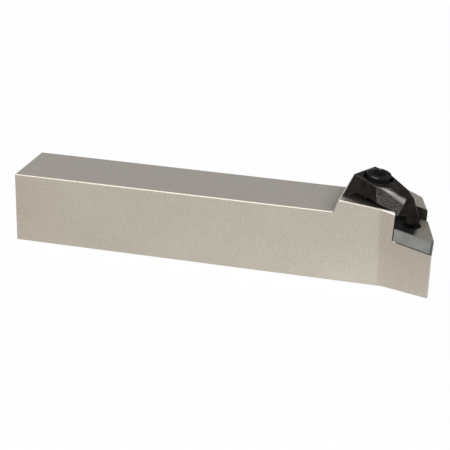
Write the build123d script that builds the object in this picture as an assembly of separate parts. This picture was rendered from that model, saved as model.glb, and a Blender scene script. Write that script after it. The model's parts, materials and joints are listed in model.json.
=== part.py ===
from build123d import *
from math import atan, cos, degrees, radians, sin, tan
import os

# Frame: +X runs along the shank towards the cutting end, +Z is up, and the tool is left-hand, so its
# nose points to +X and -Y. The origin is the middle of the shank's bottom face. Lengths are millimetres.

# Square shank, from its back end to the foot of the ramp that raises the head
shank_height = 25.0
shank_width = 25.0
shank_length = 115.3
edge_break = 0.3

# Head: a steep ramp up to a top face that falls gently towards the nose
ramp_run = 1.46
ramp_rise = 4.36
head_fall = 6.2
fold_from_ramp = 17.6
fold_radius = 4.0
nose_from_ramp = 35.5
corner_cut_from_ramp = 19.2
corner_cut_angle = 36.4

# Cutting geometry: approach angle, insert form and the negative rakes of its seat
approach_angle = 107.5
point_angle = 55.0
insert_circle = 12.7
seat_rake = 6.0
seat_drop = 4.55
flank_relief = 0.8
nose_setback = 0.6
nose_radius = 0.5
wall_relief_radius = 1.2

# Seat: the carbide shim that lies on the pocket floor under the insert
seat_thickness = 4.76
seat_corner_radius = 0.8
seat_clearance = 0.1
seat_edge = 0.12
seat_hole_radius = 2.3
seat_sink_radius = 3.15

# Countersunk screw that holds the seat down
seat_screw_radius = 2.0
seat_screw_head_radius = 3.1
seat_screw_drop = 0.4
seat_screw_length = 11.0
seat_screw_lip = 0.3
seat_screw_socket = 2.5
seat_screw_socket_depth = 1.6

# Clamp screw: socket head cap screw, its axis leaning with the clamp
clamp_angle = -29.0
clamp_pitch = 8.8
screw_from_ramp = 12.26
screw_from_front = 8.4
screw_radius = 2.5
screw_length = 16.0
screw_head_radius = 4.25
screw_head_height = 5.0
screw_head_rise = 1.4
screw_head_edge = 0.45
screw_socket = 4.0
screw_socket_depth = 2.5
screw_tip_chamfer = 0.5
thread_clearance = 0.05
head_clearance = 0.02
drill_depth = 15.0
drill_point = 118.0

# Clamp: depths are measured down from its top face, along the screw; front is the side towards -Y
clamp_height = 8.2
clamp_bore_radius = 2.8
clamp_counterbore_radius = 5.1
clamp_heel_back = 6.1
clamp_heel_lean = 0.9
clamp_heel_width = 11.0
clamp_heel_depth = 7.9
clamp_foot_width = 17.7
clamp_waist_ahead = 4.34
clamp_waist_front = -6.52
clamp_shoulder_ahead = 7.0
clamp_shoulder_front = -6.76
clamp_shoulder_rear = 4.7
clamp_shoulder_foot_front = -5.7
clamp_shoulder_foot_rear = 7.4
clamp_thickness = 5.2
clamp_sole_length = 2.9
clamp_sole_rise = 2.1
clamp_arch_length = 2.0
clamp_throat_ahead = 11.0
clamp_throat_depth = 7.2
clamp_bevel_ahead = 5.0
clamp_bevel_offset = -6.0
clamp_crest_ahead = 11.0
clamp_crest_offset = 0.8
clamp_nose_ahead = 13.36
clamp_nose_offset = -0.8
clamp_nose_drop = 1.9
clamp_nose_depth = 8.5
clamp_nose_root = 11.9
clamp_tip_ahead = 16.8
clamp_tip_offset = 3.8
clamp_flank_ahead = 5.8
clamp_flank_front = -6.19
clamp_flank_depth = 5.6
clamp_rear_ahead = 5.4
clamp_rear_offset = 3.73
clamp_crest_end_ahead = 14.9
clamp_crest_end_offset = 1.28
clamp_crest_end_drop = 1.76
clamp_band = 0.9
clamp_edge = 0.3
hook_radius = 2.3
hook_clearance = 1.1
hook_ahead = 14.2
hook_offset = 2.7

# Lift spring round the clamp screw, in a pocket of the head
spring_wire = 0.7
spring_radius = 3.1
spring_turns = 4.0
spring_wire_sides = 8
spring_clearance = 0.25
spring_pocket_depth = 3.6
spring_gap = 0.05

seat_height = shank_height - seat_drop
back_x = -shank_length / 2
ramp_x = shank_length / 2
front_y = -shank_width / 2
back_y = shank_width / 2
fold_x = ramp_x + fold_from_ramp
nose_x = ramp_x + nose_from_ramp
flank_angle = approach_angle - 90
ramp_top_x = ramp_x + ramp_run
ramp_top_z = shank_height + ramp_rise


def head_top(x):
    return ramp_top_z - (x - ramp_top_x) * tan(radians(head_fall))


def flank_y(x, z):
    along = (x - fold_x) * tan(radians(flank_angle))
    return front_y - along - z * tan(radians(flank_relief)) / cos(radians(flank_angle))


def plan_vector(angle):
    return Vector(cos(radians(angle)), sin(radians(angle)), 0)


# The seat leans down towards the nose along both of its cutting sides
bisector_angle = approach_angle + point_angle / 2
seat_lean = degrees(atan(tan(radians(seat_rake)) / cos(radians(point_angle / 2))))
bisector = plan_vector(bisector_angle)
seat_up = Vector(0, 0, 1) * cos(radians(seat_lean)) - bisector * sin(radians(seat_lean))
seat_inward = bisector * cos(radians(seat_lean)) + Vector(0, 0, 1) * sin(radians(seat_lean))
nose_point = Vector(nose_x, flank_y(nose_x, seat_height), seat_height)
seat_plane = Plane(origin=nose_point, x_dir=seat_inward, z_dir=seat_up)
insert_side = insert_circle / sin(radians(point_angle))
insert_middle = insert_side * cos(radians(point_angle / 2))

# The clamp's own frame: its x axis runs to the nose, its origin lies on its top face in the screw's axis
clamp_ahead = plan_vector(clamp_angle) * cos(radians(clamp_pitch)) - Vector(0, 0, 1) * sin(radians(clamp_pitch))
clamp_up = plan_vector(clamp_angle) * sin(radians(clamp_pitch)) + Vector(0, 0, 1) * cos(radians(clamp_pitch))
screw_x = ramp_x + screw_from_ramp
screw_root = Vector(screw_x, front_y + screw_from_front, head_top(screw_x))
clamp_plane = Plane(origin=screw_root + clamp_up * clamp_height, x_dir=clamp_ahead, z_dir=clamp_up)
screw_seat_depth = screw_head_height - screw_head_rise


# Corners of the clamp as (ahead, offset, depth)
half_heel, half_foot = clamp_heel_width / 2, clamp_foot_width / 2
clamp_foot_back = clamp_heel_back + clamp_heel_lean
heel_middle = (-clamp_heel_back, 0, 0)
heel_front = (-clamp_heel_back, -half_heel, 0)
heel_rear = (-clamp_heel_back, half_heel, 0)
foot_front = (-clamp_foot_back, -half_foot, clamp_nose_depth)
foot_rear = (-clamp_foot_back, half_foot, clamp_nose_depth)
waist = (clamp_waist_ahead, clamp_waist_front, 0)
waist_foot = (clamp_flank_ahead, clamp_flank_front, clamp_flank_depth)
bevel = (clamp_bevel_ahead, clamp_bevel_offset, 0)
crest = (clamp_crest_ahead, clamp_crest_offset, 0)
crest_end = (clamp_crest_end_ahead, clamp_crest_end_offset, clamp_crest_end_drop)
rear = (clamp_rear_ahead, clamp_rear_offset, 0)
nose_top = (clamp_nose_ahead, clamp_nose_offset, clamp_nose_drop)
nose_foot = (clamp_nose_ahead, clamp_nose_offset, clamp_nose_depth)
nose_root = (clamp_nose_root, clamp_nose_offset, clamp_nose_depth)
tip = (clamp_tip_ahead, clamp_tip_offset, clamp_nose_depth)


# Planes that bound the head in plan: its flank, the end face under the cutting edge, the rear corner
flank_out = plan_vector(-flank_angle - 90) * cos(radians(flank_relief)) - Vector(0, 0, 1) * sin(radians(flank_relief))
end_out = plan_vector(approach_angle - 90) * cos(radians(flank_relief)) - Vector(0, 0, 1) * sin(radians(flank_relief))
flank_plane = Plane(origin=(fold_x, front_y, 0), x_dir=plan_vector(-flank_angle), z_dir=flank_out)
end_plane = Plane(
    origin=nose_point - plan_vector(-flank_angle) * nose_setback,
    x_dir=plan_vector(approach_angle), z_dir=end_out,
)
corner_plane = Plane(
    origin=(ramp_x + corner_cut_from_ramp, back_y, 0),
    x_dir=plan_vector(-corner_cut_angle), z_dir=plan_vector(90 - corner_cut_angle),
)


# A closed outline on a plane, filled between two heights over it
def slab(outline, plane, low, high):
    return extrude(plane * Pos(0, 0, low) * make_face(outline), amount=high - low)


# The insert's rhombus with its nose at the seat plane's origin, shrunk by a margin
def rhombus(margin):
    side = insert_side - 2 * margin / sin(radians(point_angle))
    half = radians(point_angle / 2)
    start = margin / sin(half)
    return Polyline(
        (start, 0), (start + side * cos(half), -side * sin(half)),
        (start + 2 * side * cos(half), 0), (start + side * cos(half), side * sin(half)), close=True,
    )


# A round bar along a plane's axis, between two heights over it
def rod(plane, radius, low, high, x=0.0, y=0.0):
    return plane * Pos(x, y, (low + high) / 2) * Cylinder(radius, high - low)


# A hexagon socket or key section across the flats, between two heights
def hexagon(plane, flats, low, high):
    return extrude(plane * Pos(0, 0, low) * RegularPolygon(flats / 2, 6, major_radius=False), amount=high - low)


def head_outline():
    end_x = nose_x + nose_setback
    return Plane.XZ * Polyline(
        (back_x, 0), (end_x, 0), (end_x, head_top(end_x)), (ramp_top_x, ramp_top_z),
        (ramp_x, shank_height), (back_x, shank_height), close=True,
    )


def bar_and_head():
    tall = ramp_top_z
    middle_x = (back_x + nose_x) / 2
    bar = Pos(middle_x, 0, tall / 2) * Box(nose_x - back_x, shank_width, tall)
    flare = Pos((ramp_x + nose_x) / 2, 0, tall / 2) * Box(nose_from_ramp, 2 * shank_width, tall)
    flare = split(flare, bisect_by=flank_plane, keep=Keep.BOTTOM)
    flare = split(flare, bisect_by=Plane(origin=(0, back_y, 0), z_dir=(0, 1, 0)), keep=Keep.BOTTOM)
    body = split(bar + flare, bisect_by=end_plane, keep=Keep.BOTTOM)
    body = split(body, bisect_by=corner_plane, keep=Keep.BOTTOM)
    side = extrude(make_face(head_outline()), amount=2 * shank_width, both=True)
    return body & side


# The pocket's walls stand square to the seat, one insert's width from its two cutting sides
def insert_pocket():
    half = radians(point_angle / 2)
    corner = 2 * insert_middle
    reach_out = 2 * insert_side
    outline = Polyline(
        (corner, 0), (corner - reach_out * cos(half), reach_out * sin(half)),
        (corner - 2 * reach_out * cos(half), 0), (corner - reach_out * cos(half), -reach_out * sin(half)),
        close=True,
    )
    void = slab(outline, seat_plane, -seat_thickness, shank_height)
    relief = rod(seat_plane, wall_relief_radius, -seat_thickness, shank_height, x=corner - wall_relief_radius)
    return void + relief


# Blind hole for the clamp screw, with its drill point, and the spring's pocket at its mouth
def screw_hole():
    radius = screw_radius + thread_clearance
    bottom = -clamp_height - drill_depth
    point = radius / tan(radians(drill_point / 2))
    hole = rod(clamp_plane, radius, bottom, -screw_seat_depth)
    hole += clamp_plane * Pos(0, 0, bottom - point / 2) * Cone(0, radius, point)
    pocket_radius = spring_radius + spring_wire / 2 + spring_clearance
    return hole + rod(clamp_plane, pocket_radius, -clamp_height - spring_pocket_depth, -screw_seat_depth)


def seat_screw_hole():
    bottom = -seat_screw_drop - seat_screw_length - seat_screw_radius
    return rod(seat_plane, seat_screw_radius + thread_clearance, bottom, -seat_thickness / 2, x=insert_middle)


# The upright edge of a solid that lies nearest to a place in plan
def upright_edge(solid, x, y):
    upright = solid.edges().filter_by(lambda edge: abs((edge % 0.5).Z) > cos(radians(corner_cut_angle)))
    return upright.sort_by_distance((x, y, seat_height / 2))[0]


def holder_body():
    body = bar_and_head()
    body = fillet(upright_edge(body, fold_x, front_y), fold_radius)
    body = fillet(upright_edge(body, nose_x, flank_y(nose_x, 0)), nose_radius)
    body = chamfer(body.edges(), edge_break)
    return body - insert_pocket() - screw_hole() - seat_screw_hole()


def seat():
    block = slab(rhombus(seat_clearance), seat_plane, -seat_thickness, 0)
    upright = block.edges().filter_by(Axis((0, 0, 0), seat_up))
    block = fillet(upright, seat_corner_radius)
    block = chamfer(block.edges().filter_by(lambda edge: abs((edge % 0.5).dot(seat_up)) < 0.5), seat_edge)
    block -= rod(seat_plane, seat_hole_radius, -seat_thickness, 0, x=insert_middle)
    lip = seat_screw_drop + seat_screw_lip
    block -= rod(seat_plane, seat_sink_radius, -lip, 0, x=insert_middle)
    sink = seat_sink_radius - seat_hole_radius
    return block - seat_plane * Pos(insert_middle, 0, -lip - sink / 2) * Cone(seat_hole_radius, seat_sink_radius, sink)


def seat_screw():
    top = -seat_screw_drop
    cone = seat_screw_head_radius - seat_screw_radius
    lip = top - seat_screw_lip
    head = rod(seat_plane, seat_screw_head_radius, lip, top, x=insert_middle)
    head += seat_plane * Pos(insert_middle, 0, lip - cone / 2) * Cone(seat_screw_radius, seat_screw_head_radius, cone)
    stem = rod(seat_plane, seat_screw_radius, top - seat_screw_length, lip - cone, x=insert_middle)
    key_plane = seat_plane * Pos(insert_middle, 0, 0)
    return head + stem - hexagon(key_plane, seat_screw_socket, top - seat_screw_socket_depth, top)


def clamp_point(ahead, offset, depth):
    return clamp_plane.from_local_coords(Vector(ahead, offset, -depth))


# The edge of a solid that lies nearest to the middle between two of the clamp's corners
def clamp_edge_between(solid, first, second):
    middle = (clamp_point(*first) + clamp_point(*second)) / 2
    return solid.edges().sort_by_distance(middle)[0]


# Cuts a solid with the plane through three of the clamp's corners, and keeps the side of its heart
def faceted(solid, a, b, c):
    first, second, third = (clamp_point(*corner) for corner in (a, b, c))
    out = (second - first).cross(third - first).normalized()
    heart = clamp_point(0, 0, clamp_thickness / 2)
    if (heart - first).dot(out) > 0:
        out = -out
    return split(solid, bisect_by=Plane(origin=first, z_dir=out), keep=Keep.BOTTOM)


# The clamp's outline across its length: two heights on each side, joined by straight lines
def clamp_section(ahead, front, foot_front, foot_rear, rear):
    corners = [(front, 0), (foot_front, clamp_nose_depth), (foot_rear, clamp_nose_depth), (rear, 0)]
    return make_face(Polyline(*[clamp_point(ahead, offset, depth) for offset, depth in corners], close=True))


# The foot flares out below the top face at the heel, the sides stand nearly upright at the shoulder
def clamp_blank():
    heel = clamp_section(-clamp_foot_back, -half_heel, -half_foot, half_foot, half_heel)
    sides = (clamp_shoulder_front, clamp_shoulder_foot_front, clamp_shoulder_foot_rear, clamp_shoulder_rear)
    shoulder = clamp_section(clamp_shoulder_ahead, *sides)
    return loft([heel, shoulder], ruled=True) + loft([shoulder, clamp_section(clamp_tip_ahead, *sides)], ruled=True)


# The space under the clamp: a sole that bears on its heel edge only, an arch, then the lower nose
def clamp_underside():
    sole_x = clamp_sole_length - clamp_foot_back
    below = -2 * clamp_nose_depth
    side = Plane(origin=clamp_plane.origin, x_dir=clamp_plane.x_dir, z_dir=-clamp_plane.y_dir)
    outline = Polyline(
        (-clamp_foot_back, below), (-clamp_foot_back, -clamp_heel_depth), (sole_x, clamp_sole_rise - clamp_heel_depth),
        (sole_x + clamp_arch_length, -clamp_thickness), (clamp_waist_ahead, -clamp_thickness),
        (clamp_throat_ahead, -clamp_throat_depth), (clamp_nose_root, -clamp_nose_depth),
        (clamp_nose_root, below), close=True,
    )
    return extrude(side * make_face(outline), amount=clamp_foot_width, both=True)


# The facets that the cutting end shows: heel, front flank, front bevel, rear flank and nose
def clamp_facets():
    heel_foot = (-clamp_foot_back, 0, clamp_heel_depth)
    body = faceted(clamp_blank(), heel_front, heel_rear, heel_foot)
    body = faceted(body, waist, nose_top, waist_foot)
    body = faceted(body, bevel, nose_top, crest)
    body = faceted(body, rear, crest_end, tip)
    return faceted(body, nose_top, tip, nose_foot)


# A broad round along the top of the front flank, small ones on the other edges that a hand meets
def clamp_rounded(body):
    body = fillet(clamp_edge_between(body, bevel, nose_top), clamp_band)
    pairs = [
        (heel_front, waist), (heel_middle, heel_middle), (crest, crest_end), (nose_top, crest_end),
        (nose_top, nose_root), (crest_end, tip), (heel_rear, rear), (rear, crest),
        (heel_front, foot_front), (heel_rear, foot_rear), (waist, waist_foot),
    ]
    return fillet([clamp_edge_between(body, *pair) for pair in pairs], clamp_edge)


# The hook reaches down from the nose into the insert's hole, and ends clear of the seat
def hook():
    root = clamp_point(hook_ahead, hook_offset, clamp_nose_depth)
    height = (root - nose_point).dot(seat_up) - hook_clearance
    length = height / clamp_up.dot(seat_up)
    return rod(clamp_plane, hook_radius, -clamp_nose_depth - length, -clamp_nose_depth, hook_ahead, hook_offset)


def clamp():
    body = clamp_rounded(clamp_facets()) - clamp_underside() + hook()
    body -= rod(clamp_plane, clamp_bore_radius, -clamp_heel_depth, 0)
    return body - rod(clamp_plane, clamp_counterbore_radius, -screw_seat_depth, 0)


def clamp_screw():
    under = -screw_seat_depth + head_clearance
    top = under + screw_head_height
    head = rod(clamp_plane, screw_head_radius, under, top)
    head = fillet(head.edges().filter_by(GeomType.CIRCLE).sort_by(Axis.Z)[-1], screw_head_edge)
    stem = rod(clamp_plane, screw_radius, under - screw_length, under)
    stem = chamfer(stem.edges().filter_by(GeomType.CIRCLE).sort_by(Axis.Z)[0], screw_tip_chamfer)
    return head + stem - hexagon(clamp_plane, screw_socket, top - screw_socket_depth, top)


def lift_spring():
    low = -clamp_height - spring_pocket_depth + spring_gap
    high = -clamp_thickness - spring_gap
    pitch = (high - low) / spring_turns
    coil = Helix(pitch, high - low, spring_radius)
    section = Plane(origin=coil @ 0, z_dir=coil % 0) * RegularPolygon(spring_wire / 2, spring_wire_sides)
    wire = sweep(section, path=coil, is_frenet=True)
    wire = clamp_plane * Pos(0, 0, low) * wire
    return wire & rod(clamp_plane, 2 * spring_radius, low, high)


os.makedirs("parts", exist_ok=True)
pieces = {
    "holder_body": holder_body(),
    "seat": seat(),
    "seat_screw": seat_screw(),
    "clamp": clamp(),
    "clamp_screw": clamp_screw(),
    "lift_spring": lift_spring(),
}
for name, shape in pieces.items():
    shape.label = name
    export_step(shape, f"parts/{name}.step")
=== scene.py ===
import json
from math import cos, radians, sin, tau

import bpy
from mathutils import Matrix, Vector


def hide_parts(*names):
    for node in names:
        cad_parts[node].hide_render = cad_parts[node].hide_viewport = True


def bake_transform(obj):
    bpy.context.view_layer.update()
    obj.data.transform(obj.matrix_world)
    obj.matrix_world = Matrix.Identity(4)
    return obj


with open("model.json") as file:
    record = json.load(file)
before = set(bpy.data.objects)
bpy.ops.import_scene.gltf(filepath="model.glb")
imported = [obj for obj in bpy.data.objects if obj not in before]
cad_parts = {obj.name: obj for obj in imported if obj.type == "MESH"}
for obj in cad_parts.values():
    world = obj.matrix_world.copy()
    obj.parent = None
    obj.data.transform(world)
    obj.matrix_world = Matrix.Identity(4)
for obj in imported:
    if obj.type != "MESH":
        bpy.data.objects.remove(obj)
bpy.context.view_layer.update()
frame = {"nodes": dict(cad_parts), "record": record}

print("frame loaded:", ", ".join(frame["nodes"]))

noiseReach = (0.3, 0.7)  # nearly all of a noise texture lies between these


class Wire:
    def __init__(self, graph, socket):
        self.graph = graph
        self.socket = socket

    def maths(self, operation, first, second):
        return self.graph.node("ShaderNodeMath", {"operation": operation}, {0: first, 1: second})

    def __add__(self, other):
        return self.maths("ADD", self, other)

    def __radd__(self, other):
        return self.maths("ADD", other, self)

    def __sub__(self, other):
        return self.maths("SUBTRACT", self, other)

    def __rsub__(self, other):
        return self.maths("SUBTRACT", other, self)

    def __mul__(self, other):
        return self.maths("MULTIPLY", self, other)

    def __rmul__(self, other):
        return self.maths("MULTIPLY", other, self)

    def __truediv__(self, other):
        return self.maths("DIVIDE", self, other)

    def __rtruediv__(self, other):
        return self.maths("DIVIDE", other, self)

    def highest(self, other):
        return self.maths("MAXIMUM", self, other)

    def also(self, output):
        return Wire(self.graph, self.socket.node.outputs[output])


class Graph:
    def __init__(self, tree):
        self.tree = tree
        self.tree.nodes.clear()

    def node(self, kind, settings=None, sockets=None, output=0):
        made = self.tree.nodes.new(kind)
        for name, value in (settings or {}).items():
            setattr(made, name, value)
        for name, value in (sockets or {}).items():
            if isinstance(value, Wire):
                self.tree.links.new(value.socket, made.inputs[name])
            else:
                made.inputs[name].default_value = value
        return Wire(self, made.outputs[output]) if len(made.outputs) else made

    def place(self):
        return self.node("ShaderNodeTexCoord", output="Object")

    # One of the surface's own coordinates, in metres
    def coordinate(self, axis):
        return self.node("ShaderNodeSeparateXYZ", None, {0: self.place()}, output=axis)

    def noise(self, scale, detail=4, roughness=0.5):
        sockets = {"Vector": self.place(), "Scale": scale, "Detail": detail, "Roughness": roughness}
        return self.node("ShaderNodeTexNoise", None, sockets)

    def blendColours(self, amount, first, second, blend="MIX"):
        settings = {"data_type": "RGBA", "blend_type": blend}
        return self.node("ShaderNodeMix", settings, {"Factor": amount, 6: first, 7: second}, output=2)

    def tinted(self, amount, colour, tint):
        return self.blendColours(amount, colour, tint, "MULTIPLY")

    def spread(self, value, low, high, toLow=0, toHigh=1):
        sockets = {"Value": value, "From Min": low, "From Max": high, "To Min": toLow, "To Max": toHigh}
        return self.node("ShaderNodeMapRange", {"clamp": True}, sockets)

    # 1 up to the low end, 0 from the high end on
    def fading(self, value, low, high):
        return self.spread(value, low, high, 1, 0)

    # 1 between two places, falling to 0 at both over the fade inside them
    def between(self, value, low, high, fade):
        return self.spread(value, low, low + fade) * self.fading(value, high - fade, high)

    # A fine grain and a broad cloud, mixed to one pattern from 0 to 1
    def mottle(self, grain, cloud, grainShare, reach):
        return self.spread(grain * grainShare + cloud * (1 - grainShare), *reach)

    # The roughness that follows a noise from the first value to the second
    def satin(self, noise, roughness):
        return self.spread(noise, *noiseReach, *roughness)

    def bump(self, height, depth, strength):
        return self.node("ShaderNodeBump", None, {"Height": height, "Distance": depth, "Strength": strength})

    def vector(self, operation, first, second, output="Value"):
        return self.node("ShaderNodeVectorMath", {"operation": operation}, {0: first, 1: second}, output)

    # How far along a direction the surface lies from a point, in metres
    def along(self, start, direction):
        offset = self.vector("SUBTRACT", self.place(), start, "Vector")
        return self.vector("DOT_PRODUCT", offset, direction)

    # How far the surface lies from a point, in metres
    def away(self, start):
        return self.vector("DISTANCE", self.place(), start)

    # 1 where nothing stands near the surface, 0 deep in a corner or under another piece
    def openness(self, reach, samples=12):
        return self.node("ShaderNodeAmbientOcclusion", {"samples": samples}, {"Distance": reach}, output="AO")

    # How squarely the surface faces a direction of the object's own space, 1 is square on
    def facing(self, direction):
        return self.vector("DOT_PRODUCT", self.node("ShaderNodeTexCoord", output="Normal"), direction)

    # 1 where the surface turns from one flat facet to the next, as on a rounded or bevelled edge
    def edges(self, directions, flat=0.985, turned=0.94):
        closest = self.facing(directions[0])
        for direction in directions[1:]:
            closest = closest.highest(self.facing(direction))
        return self.fading(closest, turned, flat)


def newMaterial(name):
    material = bpy.data.materials.new(name)
    material.use_nodes = True
    return material, Graph(material.node_tree)


def surface(graph, **sockets):
    names = {name.replace("_", " "): value for name, value in sockets.items()}
    shader = graph.node("ShaderNodeBsdfPrincipled", None, names)
    graph.node("ShaderNodeOutputMaterial", None, {"Surface": shader})


def dress(nodeName, material):
    for materialSlot in frame["nodes"][nodeName].material_slots:
        materialSlot.material = material


# Directions of a node's flat facets that are wider than an area in square metres, the widest first
def flatFacets(nodeName, leastArea, apart=0.985):
    areas = []
    for face in frame["nodes"][nodeName].data.polygons:
        for known in areas:
            if known[0].dot(face.normal) > apart:
                known[1] += face.area
                break
        else:
            areas.append([face.normal.copy(), face.area])
    wide = sorted((known for known in areas if known[1] > leastArea), key=lambda known: -known[1])
    return [tuple(known[0]) for known in wide]


# The clamp screw's axis, the way that the clamp points square to it, and the seat's top
screwJoint = next(joint for joint in frame["record"]["behaviour"]["joints"] if joint["type"] == "hinge")
screwAxis = Vector(screwJoint["axis"]).normalized()
screwPlace = Vector(screwJoint["pos_m"])
lean = Vector((screwAxis.x, screwAxis.y, 0)).normalized()
clampAhead = (lean - screwAxis * lean.dot(screwAxis)).normalized()
clampAcross = screwAxis.cross(clampAhead)
seatMount = next(mount for mount in frame["record"]["mounts"] if mount["name"] == "insert_seat")
seatPlace, seatUp = Vector(seatMount["pos_m"]), Vector(seatMount["axis"])


# In the looks below, places and depths are in metres. A pair gives where a mask starts and where
# it is full, and a Facing pair gives how squarely the surface looks that way at those two
# Holder: satin nickel plate over milled steel, with a fine even grain, edges worn bright and partly painted
# as highlights, and light and shade painted on some faces
nickelLook = {
    "colour": (0.400, 0.365, 0.312, 1),
    "lightColour": (0.500, 0.465, 0.402, 1),
    "grainPerMetre": 2900,
    "grainDepth": 0.00002,
    "grainStrength": 0.4,
    "grainShare": 0.85,
    "cloudPerMetre": 45,
    "mottleReach": (0.38, 0.62),
    "metal": 0.7,
    "roughness": (0.30, 0.37),
    "specular": 0.1,
    # Painted light and shade: the top, the flare and the shank's end are darker as painted shade, the head's
    # foot lighter as painted light, and the tip's top darker
    "topShadeTint": (0.69, 0.683, 0.715, 1),
    "topMatt": 0.5,
    "topFacing": (0.9, 0.98),
    "flareShadeTint": (0.92, 0.89, 0.895, 1),
    "flareFrom": 0.07378,
    "flareSlope": 0.0157,
    "flareFade": 0.0001,
    "flareFacing": (0.85, 0.93),
    "endShadeTint": (0.90, 0.84, 0.83, 1),
    "endReach": (-0.081, -0.03),
    "endFacing": (0.5, 0.9),
    "footLightTint": (1.12, 1.13, 1.14, 1),
    "footHeight": (0.002, 0.014),
    "footAhead": (0.02, 0.06),
    "tipTint": (0.77, 0.77, 0.75, 1),
    "tipAhead": (0.078, 0.082),
    # Edges worn bright, partly painted highlights, and edges on the shaded side painted darker as shade
    "leastFacet": 0.00002,
    "edgeColour": (1.0, 0.985, 0.95, 1),
    "edgeRoughness": 0.2,
    "browAhead": (0.0565, 0.0575),
    "browSide": (-0.0121, -0.0117),
    "shadedEdgeColour": (0.24, 0.215, 0.185, 1),
    "shadedWay": (-0.707, 0, -0.707),
    "shadedFacing": (0.3, 0.45),
    "shadedEdges": [(-0.707, -0.707, 0), (-0.707, 0, 0.707), (0, 0.707, 0.707), (-0.577, -0.577, 0.577)],
    "shadedEdgeFacing": (0.9, 0.97),
    # Painted shade in the pocket's corners, painted shadow under the clamp, and painted shade along the
    # pocket's lower edge
    "paintedShadeColour": (0.041, 0.036, 0.031, 1),
    "upperHeight": (0.011, 0.017),
    "cornerReach": 0.008,
    "cornerOpenness": (0.45, 0.96),
    "shadowBack": -0.0092,
    "shadowAhead": 0.009,
    "shadowHalfWidth": 0.0096,
    "shadowFade": 0.0017,
    "shadowMatt": 0.6,
    "shadowRoughness": 0.45,
    "ledgeDepth": (-0.0049, -0.0045),
    "ledgeFade": 0.0001,
    "ledgeAhead": (0.0794, 0.0795),
    "ledgeSide": (-0.0122, -0.0118),
    "ledgeShare": 0.5,
}


# The clamp's footprint on the head's top, where its shadow is painted
def clampShadow(graph):
    look = nickelLook
    half, fade = look["shadowHalfWidth"], look["shadowFade"]
    across = graph.between(graph.along(screwPlace, clampAcross), -half, half, fade)
    ahead = graph.along(screwPlace, clampAhead)
    return across * graph.between(ahead, look["shadowBack"], look["shadowAhead"], fade)


# The edge of the pocket's floor, painted as a thin dark line of shade under the seat
def pocketLedge(graph):
    look = nickelLook
    depth = graph.between(graph.along(seatPlace, seatUp), *look["ledgeDepth"], look["ledgeFade"])
    ahead = graph.spread(graph.coordinate("X"), *look["ledgeAhead"])
    return depth * ahead * graph.fading(graph.coordinate("Y"), *look["ledgeSide"])


# Edges that look down or away, and the outline edges on the far side, painted darker as shade
def shadedEdges(graph):
    look = nickelLook
    edgeShade = graph.spread(graph.facing(look["shadedWay"]), *look["shadedFacing"])
    for direction in look["shadedEdges"]:
        edgeShade = edgeShade.highest(graph.spread(graph.facing(direction), *look["shadedEdgeFacing"]))
    return edgeShade


def satinNickel():
    look = nickelLook
    material, graph = newMaterial("satin_nickel")
    grain = graph.noise(look["grainPerMetre"], detail=3, roughness=0.6)
    cloud = graph.noise(look["cloudPerMetre"])
    lengthwise, sideways, height = (graph.coordinate(axis) for axis in "XYZ")
    upward = graph.spread(graph.facing((0, 0, 1)), *look["topFacing"])
    frontward = graph.facing((0, -1, 0))
    high = graph.spread(height, *look["upperHeight"])

    mottle = graph.mottle(grain, cloud, look["grainShare"], look["mottleReach"])
    flareLine = graph.along((look["flareFrom"], 0, 0), (1, 0, look["flareSlope"]))
    flare = graph.spread(flareLine, -look["flareFade"], look["flareFade"])
    flare = flare * graph.spread(frontward, *look["flareFacing"])
    shankEnd = graph.fading(lengthwise, *look["endReach"]) * graph.spread(frontward, *look["endFacing"])
    foot = graph.fading(height, *look["footHeight"]) * graph.spread(lengthwise, *look["footAhead"])
    tip = graph.spread(lengthwise, *look["tipAhead"]) * upward
    plate = graph.blendColours(mottle, look["colour"], look["lightColour"])
    # Painted shade on the flare, the top and the shank's end, painted light on the head's foot
    plate = graph.tinted(flare, plate, look["flareShadeTint"])
    plate = graph.tinted(upward, plate, look["topShadeTint"])
    plate = graph.tinted(shankEnd, plate, look["endShadeTint"])
    plate = graph.tinted(foot, plate, look["footLightTint"])
    plate = graph.tinted(tip, plate, look["tipTint"])

    # Painted shade, and then edge wear with painted highlights, lie over the plate
    corners = graph.fading(graph.openness(look["cornerReach"]), *look["cornerOpenness"]) * high
    clampShade, ledge = clampShadow(graph) * upward, pocketLedge(graph)
    paintedShade = corners.highest(clampShade).highest(ledge * look["ledgeShare"])
    plate = graph.blendColours(paintedShade, plate, look["paintedShadeColour"])
    # A painted highlight on the head's top along its front
    brow = graph.fading(sideways, *look["browSide"]) * graph.spread(lengthwise, *look["browAhead"])
    edgeWearAndHighlight = graph.edges(flatFacets("holder_body", look["leastFacet"]))
    edgeWearAndHighlight = edgeWearAndHighlight.highest(brow * high * upward) * (1 - ledge)
    plate = graph.blendColours(edgeWearAndHighlight, plate, look["edgeColour"])
    satin = graph.satin(cloud, look["roughness"]) + clampShade * look["shadowRoughness"]
    surface(
        graph,
        # Painted shade on the edges that face away from the light
        Base_Color=graph.blendColours(shadedEdges(graph) * edgeWearAndHighlight, plate, look["shadedEdgeColour"]),
        Metallic=look["metal"] - (upward * look["topMatt"]).highest(clampShade * look["shadowMatt"]),
        Roughness=satin * (1 - edgeWearAndHighlight) + edgeWearAndHighlight * look["edgeRoughness"],
        Normal=graph.bump(grain, look["grainDepth"], look["grainStrength"]),
        Specular_IOR_Level=look["specular"],
    )
    return material


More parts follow.
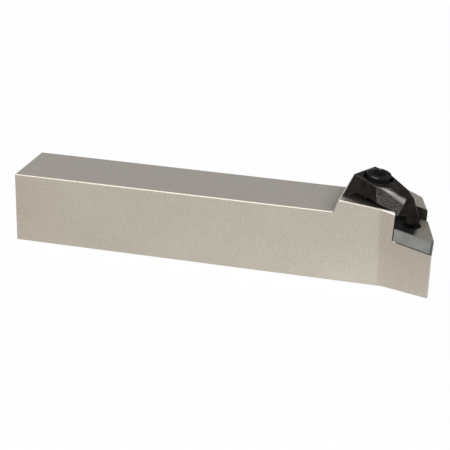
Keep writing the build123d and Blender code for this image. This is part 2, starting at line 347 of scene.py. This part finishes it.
# Seat: sintered carbide, its sides ground and blue-grey, its top matt with a browner tone that is a painted
# reflection of the surroundings, the clamp's shadow painted on it, and its edges and the seam at its foot
# painted dark as shade
carbideLook = {
    "sideColour": (0.182, 0.187, 0.176, 1),
    "sideLightColour": (0.286, 0.291, 0.276, 1),
    "sideMetal": 0.9,
    "sideRoughness": (0.35, 0.46),
    "specular": 0.1,
    "topColour": (0.198, 0.181, 0.156, 1),
    "topFacing": (0.9, 0.97),
    "topMatt": 0.6,
    "topRoughness": 0.5,
    "grainPerMetre": 4200,
    "grainDepth": 0.00001,
    "grainStrength": 0.25,
    "grainShare": 0.6,
    "cloudPerMetre": 260,
    "mottleReach": (0.36, 0.64),
    "paintedShadeColour": (0.014, 0.013, 0.012, 1),
    "noseShadowAhead": (0.0852, 0.0866),
    "hookPlace": (0.0840, -0.0086, 0.0218),
    "hookReach": (0.0027, 0.00315),
    "edgeColour": (0.045, 0.044, 0.042, 1),
    "edgeShare": 0.7,
    "leastFacet": 0.000004,
    "seamDepth": (-0.0003, -0.00014),
    "seamShare": 0.6,
}


def groundCarbide():
    look = carbideLook
    material, graph = newMaterial("ground_carbide")
    grain = graph.noise(look["grainPerMetre"], detail=3, roughness=0.65)
    cloud = graph.noise(look["cloudPerMetre"], detail=3)
    top = graph.spread(graph.facing(screwAxis), *look["topFacing"])
    # Painted shadow of the clamp's nose and hook on the seat's top
    underNose = graph.fading(graph.coordinate("X"), *look["noseShadowAhead"])
    underHook = graph.fading(graph.away(look["hookPlace"]), *look["hookReach"])
    paintedShade = underNose.highest(underHook) * top
    # Painted shade: a dark seam where the seat meets the pocket, and dark edges
    seam = graph.spread(graph.along(seatPlace, seatUp), *look["seamDepth"]) * (1 - top)
    edge = graph.edges(flatFacets("seat", look["leastFacet"])) * look["edgeShare"]
    edge = edge.highest(seam * look["seamShare"])
    mottle = graph.mottle(grain, cloud, look["grainShare"], look["mottleReach"])
    carbide = graph.blendColours(mottle, look["sideColour"], look["sideLightColour"])
    # The top's browner tone is a painted reflection of the surroundings
    carbide = graph.blendColours(top, carbide, look["topColour"])
    carbide = graph.blendColours(paintedShade, carbide, look["paintedShadeColour"])
    surface(
        graph,
        Base_Color=graph.blendColours(edge, carbide, look["edgeColour"]),
        Metallic=look["sideMetal"] - top * look["topMatt"],
        Roughness=graph.satin(grain, look["sideRoughness"]) * (1 - top) + top * look["topRoughness"],
        Normal=graph.bump(grain, look["grainDepth"], look["grainStrength"]),
        Specular_IOR_Level=look["specular"],
    )
    return material


# Clamp: black oxide; its front flank keeps the rough cast skin, painted lighter as a lit facet, and its edges
# are rubbed bright and painted with highlights.
# Ahead and Height are measured from the screw joint's place, along the clamp and up the screw,
# and Rise is the height above a line that falls from the waist to the nose
clampLook = {
    "colour": (0.0122, 0.0100, 0.0088, 1),
    "lightColour": (0.0215, 0.0183, 0.0163, 1),
    "cloudPerMetre": 320,
    "cloudReach": (0.35, 0.65),
    "roughness": 0.42,
    "specular": 0.015,
    "castColour": (0.022, 0.020, 0.019, 1),
    "castLightColour": (0.104, 0.097, 0.092, 1),
    "castRoughness": 0.08,
    "castFacing": (0.955, 0.985),
    "noseAhead": (0.0132, 0.0138),
    "pebblePerMetre": 2300,
    "pebbleDepth": 0.00006,
    "pebbleStrength": 0.5,
    "pebbleReach": (0.38, 0.66),
    # Upper edges, worn and painted with highlights, except at the nose's crown
    "leastFacet": 0.000008,
    "rubbedHighlightColour": (0.13, 0.122, 0.118, 1),
    "rubbedMetal": 0.8,
    "rubbedRoughness": 0.36,
    "rubbedFacing": (0.1, 0.3),
    "rubbedCloud": (0.3, 0.6),
    "rubbedShare": (0.3, 0.7),
    "rubbedRise": (-0.0035, -0.002),
    "crownAhead": (0.0126, 0.0132),
    "crownHeight": (-0.0036, -0.0028),
    # A painted highlight: the band along the flank, which falls and widens from the waist to the nose
    "bandHighlightColour": (0.315, 0.302, 0.293, 1),
    "bandHighlightShare": (0.75, 1),
    "waistAhead": 0.005,
    "shoulderAhead": (0.0043, 0.0048),
    "shoulderPastWaist": (0.0045, 0.0065),
    "shoulderFacing": (0.55, 0.7),
    "bandHeight": 0.00058,
    "bandFall": 0.47,
    "bandReach": 0.00045,
    "bandSpread": 0.105,
}


def blackClamp():
    look = clampLook
    material, graph = newMaterial("clamp_black")
    facets = flatFacets("clamp", look["leastFacet"])
    flank = graph.facing(max(facets, key=lambda facet: -facet[1]))
    pebble = graph.noise(look["pebblePerMetre"], detail=2, roughness=0.55)
    cloud = graph.noise(look["cloudPerMetre"], detail=3)
    ahead = graph.along(screwPlace, clampAhead)
    height = graph.along(screwPlace, screwAxis)
    pastWaist = (ahead - look["waistAhead"]).highest(0)
    rise = height + pastWaist * look["bandFall"]

    cast = graph.spread(flank, *look["castFacing"]) * graph.fading(ahead, *look["noseAhead"])
    skin = graph.spread(pebble, *look["pebbleReach"])
    ground = graph.spread(cloud, *look["cloudReach"])
    ground = graph.blendColours(ground, look["colour"], look["lightColour"])
    # Painted light: the cast skin on the flank is lighter, as a lit facet
    rough = graph.blendColours(skin, look["castColour"], look["castLightColour"])
    black = graph.blendColours(cast, ground, rough)

    upper = graph.spread(graph.facing(screwAxis), *look["rubbedFacing"])
    crown = graph.spread(ahead, *look["crownAhead"]) * graph.spread(height, *look["crownHeight"])
    # Edge wear with painted highlights
    wearAndHighlight = graph.edges(facets) * graph.spread(cloud, *look["rubbedCloud"], *look["rubbedShare"])
    wearAndHighlight = wearAndHighlight * upper * graph.spread(rise, *look["rubbedRise"]) * (1 - crown)
    black = graph.blendColours(wearAndHighlight, black, look["rubbedHighlightColour"])

    # Painted highlight along the flank's upper edge and the side's top edge
    off = (rise - look["bandHeight"]) / (pastWaist * look["bandSpread"] + look["bandReach"])
    shoulder = graph.spread(flank, *look["shoulderFacing"]) * graph.spread(ahead, *look["shoulderAhead"])
    shoulder = shoulder * graph.fading(pastWaist, *look["shoulderPastWaist"])
    bandHighlight = graph.fading(off * off, 0, 1) * cast.highest(shoulder)
    bandHighlight = bandHighlight * graph.spread(skin, 0, 1, *look["bandHighlightShare"])
    smooth = graph.spread(wearAndHighlight, 0, 1, look["roughness"], look["rubbedRoughness"])
    surface(
        graph,
        Base_Color=graph.blendColours(bandHighlight, black, look["bandHighlightColour"]),
        Metallic=wearAndHighlight * look["rubbedMetal"],
        Roughness=smooth + cast * look["castRoughness"],
        Normal=graph.bump(pebble, look["pebbleDepth"], look["pebbleStrength"]),
        Specular_IOR_Level=look["specular"],
    )
    return material


# Screws: black oxide; the clamp screw's head has its top painted dark as shade, its socket painted lighter,
# painted highlights on its rim on two sides, and a painted glint
screwLook = {
    "colour": (0.0062, 0.0064, 0.0064, 1),
    "lightColour": (0.0125, 0.0128, 0.0128, 1),
    "grainPerMetre": 2600,
    "grainDepth": 0.00001,
    "grainStrength": 0.3,
    "grainShare": 0.55,
    "cloudPerMetre": 300,
    "mottleReach": (0.38, 0.66),
    "roughness": (0.29, 0.40),
    "specular": 0.02,
    "headRadius": 0.00425,
    "headTop": 0.00142,
    "topDepth": (-0.0004, -0.0002),
    "topShadeTint": (0.2, 0.2, 0.2, 1),
    "topFacing": (0.96, 0.985),
    "socketLightTint": (1.7, 1.7, 1.7, 1),
    "socketReach": (0.0034, 0.0036),
    # The rim's painted highlights; its sides and the ring inside it are in shares of the head's radius
    "rubbedHighlightColour": (0.30, 0.30, 0.305, 1),
    "rubbedMetal": 0.8,
    "rimFacing": (0.45, 0.75),
    "rimEnd": (0.9, 0.985),
    "rimShare": (0.04, 0.8),
    "farWay": (-0.80, 0.60, 0.0),
    "farReach": (0.6, 0.95),
    "nearWay": (-0.16, -0.987, 0.0),
    "nearReach": (0.9, 0.97),
    "nearShare": 0.6,
    "outerReach": (0.68, 0.85),
    "outerShare": 0.5,
    "glintColour": (0.85, 0.85, 0.86, 1),
    "glintPlace": (0.0710, -0.0018, 0.0380),
    "glintReach": (0.000156, 0.00026),
}


def blackScrew():
    look = screwLook
    material, graph = newMaterial("screw_black")
    grain = graph.noise(look["grainPerMetre"], detail=3, roughness=0.6)
    cloud = graph.noise(look["cloudPerMetre"], detail=3)
    upward = graph.facing(screwAxis)
    headTop = screwPlace + screwAxis * look["headTop"]
    depth, fromTop = graph.along(headTop, screwAxis), graph.away(headTop)
    flatTop = graph.spread(upward, *look["topFacing"]) * graph.spread(depth, *look["topDepth"])
    inSocket = graph.fading(fromTop, *look["socketReach"]) * graph.fading(depth, *look["topDepth"])

    # Painted highlights on the rim's far and near sides, and on a ring inside its far edge
    farSide = graph.along(screwPlace, look["farWay"]) / look["headRadius"]
    farSide = graph.spread(farSide, *look["farReach"])
    nearSide = graph.along(screwPlace, look["nearWay"]) / look["headRadius"]
    nearSide = graph.spread(nearSide, *look["nearReach"], 0, look["nearShare"])
    rim = graph.spread(upward, *look["rimFacing"]) * graph.fading(upward, *look["rimEnd"])
    rim = rim * graph.spread(farSide.highest(nearSide), 0, 1, *look["rimShare"])
    outer = graph.spread(fromTop / look["headRadius"], *look["outerReach"]) * flatTop * farSide
    rim = rim.highest(outer * look["outerShare"])
    # A painted glint at the socket's far edge
    glint = graph.fading(graph.away(look["glintPlace"]), *look["glintReach"])

    oxide = graph.mottle(grain, cloud, look["grainShare"], look["mottleReach"])
    oxide = graph.blendColours(oxide, look["colour"], look["lightColour"])
    # Painted shade on the head's flat top and painted light in the socket
    oxide = graph.tinted(flatTop, oxide, look["topShadeTint"])
    oxide = graph.tinted(inSocket, oxide, look["socketLightTint"])
    oxide = graph.blendColours(rim, oxide, look["rubbedHighlightColour"])
    surface(
        graph,
        Base_Color=graph.blendColours(glint, oxide, look["glintColour"]),
        Metallic=(rim * look["rubbedMetal"]).highest(glint),
        Roughness=graph.satin(grain, look["roughness"]),
        Normal=graph.bump(grain, look["grainDepth"], look["grainStrength"]),
        Specular_IOR_Level=look["specular"],
    )
    return material


dress("holder_body", satinNickel())
dress("seat", groundCarbide())
dress("clamp", blackClamp())
screwBlack = blackScrew()
dress("clamp_screw", screwBlack)
dress("seat_screw", screwBlack)
print("finishes on the solids: nickel, carbide, black oxide")


# Lift spring: round wire about the clamp screw, its end coils closed, as long and wide as the solid
springLook = {
    "wireRadius": 0.0003,
    "turns": 5.0,
    "closedTurns": 0.9,
    "pointsPerTurn": 24,
    "wireSides": 10,
    "colour": (0.10, 0.10, 0.104, 1),
    "drawnColour": (0.16, 0.16, 0.165, 1),
    "drawnPerMetre": 1800,
    "drawnDepth": 0.00001,
    "drawnStrength": 0.2,
    "drawnReach": (0.35, 0.65),
    "roughness": (0.26, 0.36),
}


def springSteel():
    look = springLook
    material, graph = newMaterial("spring_steel")
    drawn = graph.noise(look["drawnPerMetre"], detail=2)
    streaks = graph.spread(drawn, *look["drawnReach"])
    surface(
        graph,
        Base_Color=graph.blendColours(streaks, look["colour"], look["drawnColour"]),
        Metallic=1.0,
        Roughness=graph.satin(drawn, look["roughness"]),
        Normal=graph.bump(drawn, look["drawnDepth"], look["drawnStrength"]),
    )
    return material


# The solid spring's lowest and highest place on the screw's axis, and its outer radius
def springSpace():
    points = [vertex.co - screwPlace for vertex in frame["nodes"]["lift_spring"].data.vertices]
    heights = [point.dot(screwAxis) for point in points]
    widths = [(point - screwAxis * height).length for point, height in zip(points, heights)]
    return min(heights), max(heights), max(widths)


# Share of the way up that the coil has reached: its end turns climb by one wire each
def climb(share, low, high):
    look = springLook
    closed = look["closedTurns"] / look["turns"]
    step = 2 * look["wireRadius"] * look["closedTurns"] / (high - low)
    if share < closed:
        return step * share / closed
    if share > 1 - closed:
        return 1 - step * (1 - share) / closed
    return step + (1 - 2 * step) * (share - closed) / (1 - 2 * closed)


def windSpring():
    look = springLook
    low, high, reach = springSpace()
    wire, sides = look["wireRadius"], look["wireSides"]
    coil = reach - wire
    side = screwAxis.orthogonal().normalized()
    across = screwAxis.cross(side)
    count = round(look["turns"] * look["pointsPerTurn"])
    low, high = low + wire, high - wire
    corners, faces = [], []
    for index in range(count + 1):
        share = index / count
        angle = tau * look["turns"] * share
        outward = side * cos(angle) + across * sin(angle)
        middle = screwPlace + outward * coil + screwAxis * (low + (high - low) * climb(share, low, high))
        for ring in range(sides):
            around = tau * ring / sides
            corners.append(middle + outward * (wire * cos(around)) + screwAxis * (wire * sin(around)))
    for index in range(count):
        for ring in range(sides):
            here, there = index * sides + ring, index * sides + (ring + 1) % sides
            faces.append((here, there, there + sides, here + sides))
    faces.append(tuple(range(sides)))
    faces.append(tuple(reversed(range(count * sides, count * sides + sides))))
    mesh = bpy.data.meshes.new("coil_spring")
    mesh.from_pydata(corners, [], faces)
    mesh.validate()
    mesh.shade_smooth()
    spring = bpy.data.objects.new("coil_spring", mesh)
    bpy.context.collection.objects.link(spring)
    mesh.materials.append(springSteel())
    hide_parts("lift_spring")
    screwPlace + screwAxis * low
    screwPlace + screwAxis * high
    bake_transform(spring)


windSpring()
print("lift spring wound")


# Floor, background and camera
stageLook = {
    "floorSize": 6.0,
    "floorDrop": 0.0002,
    "floorColour": (0.86, 0.86, 0.85, 1),
    "whiteShare": 0.97,
    "skyLevel": 0.28,
    "lensMm": 120.0,
    "sensorMm": 36.0,
    "clipStart": 0.01,
    "viewYaw": 15.522,
    "viewPitch": 21.999,
    "viewRoll": 1.059,
    "viewPlace": (0.148062, -0.473296, 0.20865),
}


# 1 for the rays that see the background white: from the camera, off metal and through glass
def whiteRays(graph):
    camera = graph.node("ShaderNodeLightPath", output="Is Camera Ray")
    return camera.highest(camera.also("Is Glossy Ray")).highest(camera.also("Is Transmission Ray"))


def layFloor():
    look = stageLook
    half = look["floorSize"] / 2
    corners = [(-half, -half, 0), (half, -half, 0), (half, half, 0), (-half, half, 0)]
    mesh = bpy.data.meshes.new("floor")
    mesh.from_pydata(corners, [], [(0, 1, 2, 3)])
    floor = bpy.data.objects.new("floor", mesh)
    floor.location.z = -look["floorDrop"]
    bpy.context.collection.objects.link(floor)
    material, graph = newMaterial("pale_floor")
    seen = whiteRays(graph)
    matt = graph.node("ShaderNodeBsdfDiffuse", None, {"Color": look["floorColour"]})
    white = graph.node("ShaderNodeEmission", None, {"Color": (1, 1, 1, 1), "Strength": 1.0})
    mixed = graph.node("ShaderNodeMixShader", None, {0: seen * look["whiteShare"], 1: matt, 2: white})
    graph.node("ShaderNodeOutputMaterial", None, {"Surface": mixed})
    mesh.materials.append(material)


def paintSky():
    world = bpy.data.worlds.new("studio")
    bpy.context.scene.world = world
    world.use_nodes = True
    graph = Graph(world.node_tree)
    level = graph.spread(whiteRays(graph), 0, 1, stageLook["skyLevel"], 1.0)
    sky = graph.node("ShaderNodeBackground", None, {"Color": (1, 1, 1, 1), "Strength": level})
    graph.node("ShaderNodeOutputWorld", None, {"Surface": sky})


# Soft lamps, both aimed at the middle of the part
lampAim = (0.02, 0, 0.015)
lampLook = {
    "front": {"place": (0.4, -1.05, 0.8), "size": (2.2, 1.5), "watts": 22.5, "colour": (1, 0.98, 0.95)},
    "top": {"place": (-0.35, -0.5, 1.12), "size": (0.8, 0.5), "watts": 3, "colour": (1, 1, 1)},
}


def hangLamp(name, look):
    data = bpy.data.lights.new(name, "AREA")
    data.shape = "RECTANGLE"
    data.size, data.size_y = look["size"]
    data.energy = look["watts"]
    data.color = look["colour"]
    lamp = bpy.data.objects.new(name, data)
    lamp.location = look["place"]
    towards = Vector(lampAim) - Vector(look["place"])
    lamp.rotation_euler = towards.to_track_quat("-Z", "Y").to_euler()
    bpy.context.collection.objects.link(lamp)


def placeCamera():
    look = stageLook
    data = bpy.data.cameras.new("view")
    data.lens = look["lensMm"]
    data.sensor_width = look["sensorMm"]
    data.clip_start = look["clipStart"]
    camera = bpy.data.objects.new("view", data)
    yaw = Matrix.Rotation(radians(look["viewYaw"]), 4, "Z")
    pitch = Matrix.Rotation(radians(90 - look["viewPitch"]), 4, "X")
    roll = Matrix.Rotation(radians(look["viewRoll"]), 4, "Z")
    camera.matrix_world = Matrix.Translation(look["viewPlace"]) @ yaw @ pitch @ roll
    bpy.context.collection.objects.link(camera)
    bpy.context.scene.camera = camera


layFloor()
paintSky()
for lampName, lampValues in lampLook.items():
    hangLamp(lampName + "_lamp", lampValues)
placeCamera()
bpy.context.scene.view_settings.view_transform = "Standard"
print("floor, lamps and camera are in place")
